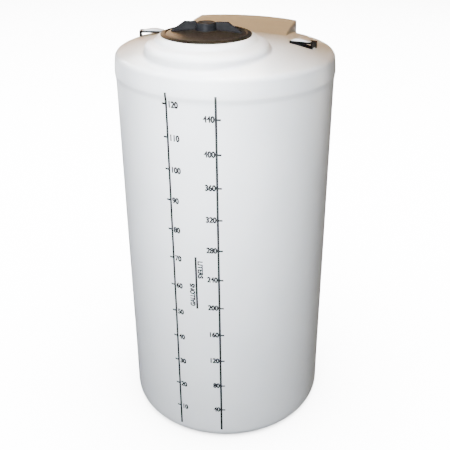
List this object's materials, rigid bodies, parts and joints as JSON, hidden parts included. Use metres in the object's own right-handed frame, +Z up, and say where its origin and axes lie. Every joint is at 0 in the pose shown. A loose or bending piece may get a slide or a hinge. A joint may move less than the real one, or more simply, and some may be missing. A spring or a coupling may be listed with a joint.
{
  "type": "vertical storage tank",
  "caption": "Upright round plastic storage tank with a rounded roof, an offset manway with a screw lid, a raised fitting platform and slotted tie-down lugs.",
  "frame": {"origin": "on the floor, at the middle of the tank's round wall", "axes": "+Z is up, -Y is the front, where the volume scale is, and +Y is the side with the raised platform"},
  "size_m": [0.711, 0.711, 1.426],
  "materials": {
    "milky_plastic": "milky white moulded polyethylene, satin, faintly translucent",
    "lid_black": "black moulded plastic with a satin sheen",
    "cap_black": "black moulded plastic, satin",
    "grip_black": "black moulded plastic, satin",
    "lug_black": "black plastic lip, satin",
    "scale_ink": "dark grey printed volume scale, matte"
  },
  "bodies": {
    "tank": {"floor_plate": "milky_plastic", "base_rim_right": "milky_plastic", "base_rim_back_right": "milky_plastic", "base_rim_back": "milky_plastic", "base_rim_back_left": "milky_plastic", "base_rim_left": "milky_plastic", "base_rim_front_left": "milky_plastic", "base_rim_front": "milky_plastic", "base_rim_front_right": "milky_plastic", "wall_right": "milky_plastic", "wall_back_right": "milky_plastic", "wall_back": "milky_plastic", "wall_back_left": "milky_plastic", "wall_left": "milky_plastic", "wall_front_left": "milky_plastic", "wall_front": "milky_plastic", "wall_front_right": "milky_plastic", "roof_right": "milky_plastic", "roof_back_right": "milky_plastic", "roof_back": "milky_plastic", "roof_back_left": "milky_plastic", "roof_left": "milky_plastic", "roof_front_left": "milky_plastic", "roof_front": "milky_plastic", "roof_front_right": "milky_plastic", "deck_back": "milky_plastic", "platform_top": "milky_plastic", "platform_front": "milky_plastic", "platform_left": "milky_plastic", "platform_right": "milky_plastic", "platform_back": "milky_plastic", "manway_drum": "milky_plastic", "manway_neck": "milky_plastic", "lug_hood_left": "milky_plastic", "lug_hood_right": "milky_plastic", "lug_lip_left": "lug_black", "lug_lip_right": "lug_black"},
    "lid": {"lid_plate": "lid_black", "vent_cap": "cap_black", "grip_left": "grip_black", "grip_right": "grip_black"}
  },
  "joints": [
    {"name": "lid_lift", "type": "slide", "parent": "tank", "child": "lid", "axis": [0, 0, 1], "range_m": [0, 0.3]}
  ]
}
